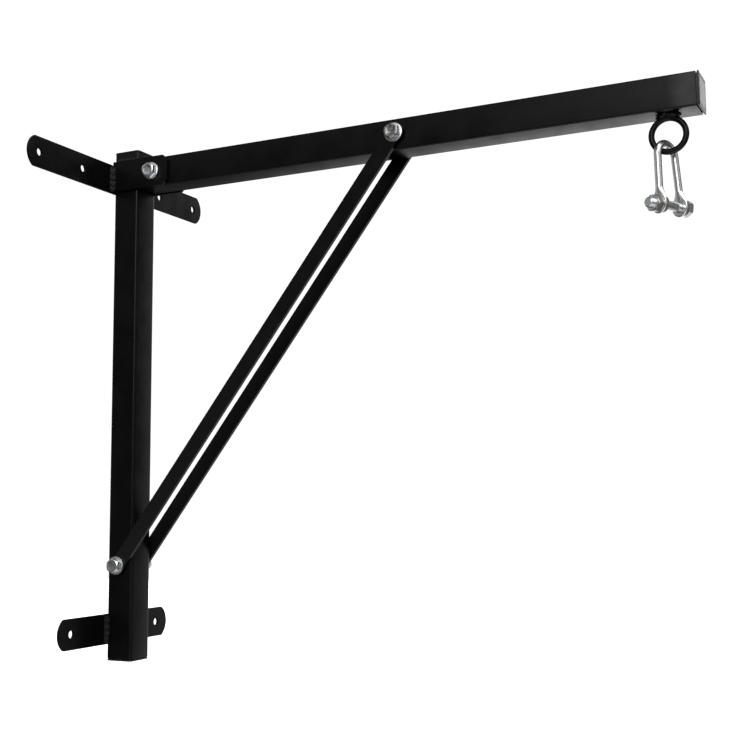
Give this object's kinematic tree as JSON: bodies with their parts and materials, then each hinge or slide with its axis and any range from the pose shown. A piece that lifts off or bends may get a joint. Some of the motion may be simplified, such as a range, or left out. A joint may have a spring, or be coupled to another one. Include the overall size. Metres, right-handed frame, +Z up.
{
  "type": "punch bag wall bracket",
  "caption": "Wall bracket for a punch bag: a post with wall plates, an arm held by diagonal bars, and a ring with a shackle under the free end.",
  "frame": {"origin": "centre of the upper wall plate's back face, on the wall", "axes": "+X out from the wall along the arm, +Y along the wall, +Z up"},
  "size_m": [0.8078, 0.386, 0.6976],
  "materials": {
    "black_coat": "satin powder coat",
    "zinc_hardware": "bright zinc plate",
    "cap_plastic": "matt"
  },
  "bodies": {
    "bracket": {"post_tube": "black_coat", "top_wall_plate": "black_coat", "bottom_wall_plate": "black_coat", "ear_near": "black_coat", "ear_far": "black_coat", "arm_tube": "black_coat", "brace_near": "black_coat", "brace_far": "black_coat", "hanging_ring": "black_coat", "weld_top_plate_near": "black_coat", "weld_top_plate_far": "black_coat", "weld_bottom_plate_near": "black_coat", "weld_bottom_plate_far": "black_coat", "weld_ear_near": "black_coat", "weld_ear_far": "black_coat", "weld_ring": "black_coat", "post_top_cap": "cap_plastic", "post_bottom_cap": "cap_plastic", "arm_end_cap": "cap_plastic", "pivot_bolt": "zinc_hardware", "pivot_washer_near": "zinc_hardware", "pivot_washer_far": "zinc_hardware", "pivot_nut": "zinc_hardware", "brace_top_bolt": "zinc_hardware", "brace_top_washer_near": "zinc_hardware", "brace_top_washer_far": "zinc_hardware", "brace_top_nut": "zinc_hardware", "brace_foot_bolt": "zinc_hardware", "brace_foot_washer_near": "zinc_hardware", "brace_foot_washer_far": "zinc_hardware", "brace_foot_nut": "zinc_hardware"},
    "shackle": {"shackle_bow": "zinc_hardware"},
    "shackle_pin": {"shackle_bolt": "zinc_hardware", "shackle_nut": "zinc_hardware"}
  },
  "joints": [
    {"name": "shackle_swing", "type": "hinge", "parent": "bracket", "child": "shackle", "pos_m": [0.7687, 0, -0.0403], "axis": [0, 1, 0], "range_deg": [-75, 75]},
    {"name": "shackle_bolt_turn", "type": "hinge", "parent": "shackle", "child": "shackle_pin", "pos_m": [0.76809, 0, -0.12245], "axis": [0.4534, 0.891, 0.0238], "continuous": true}
  ]
}
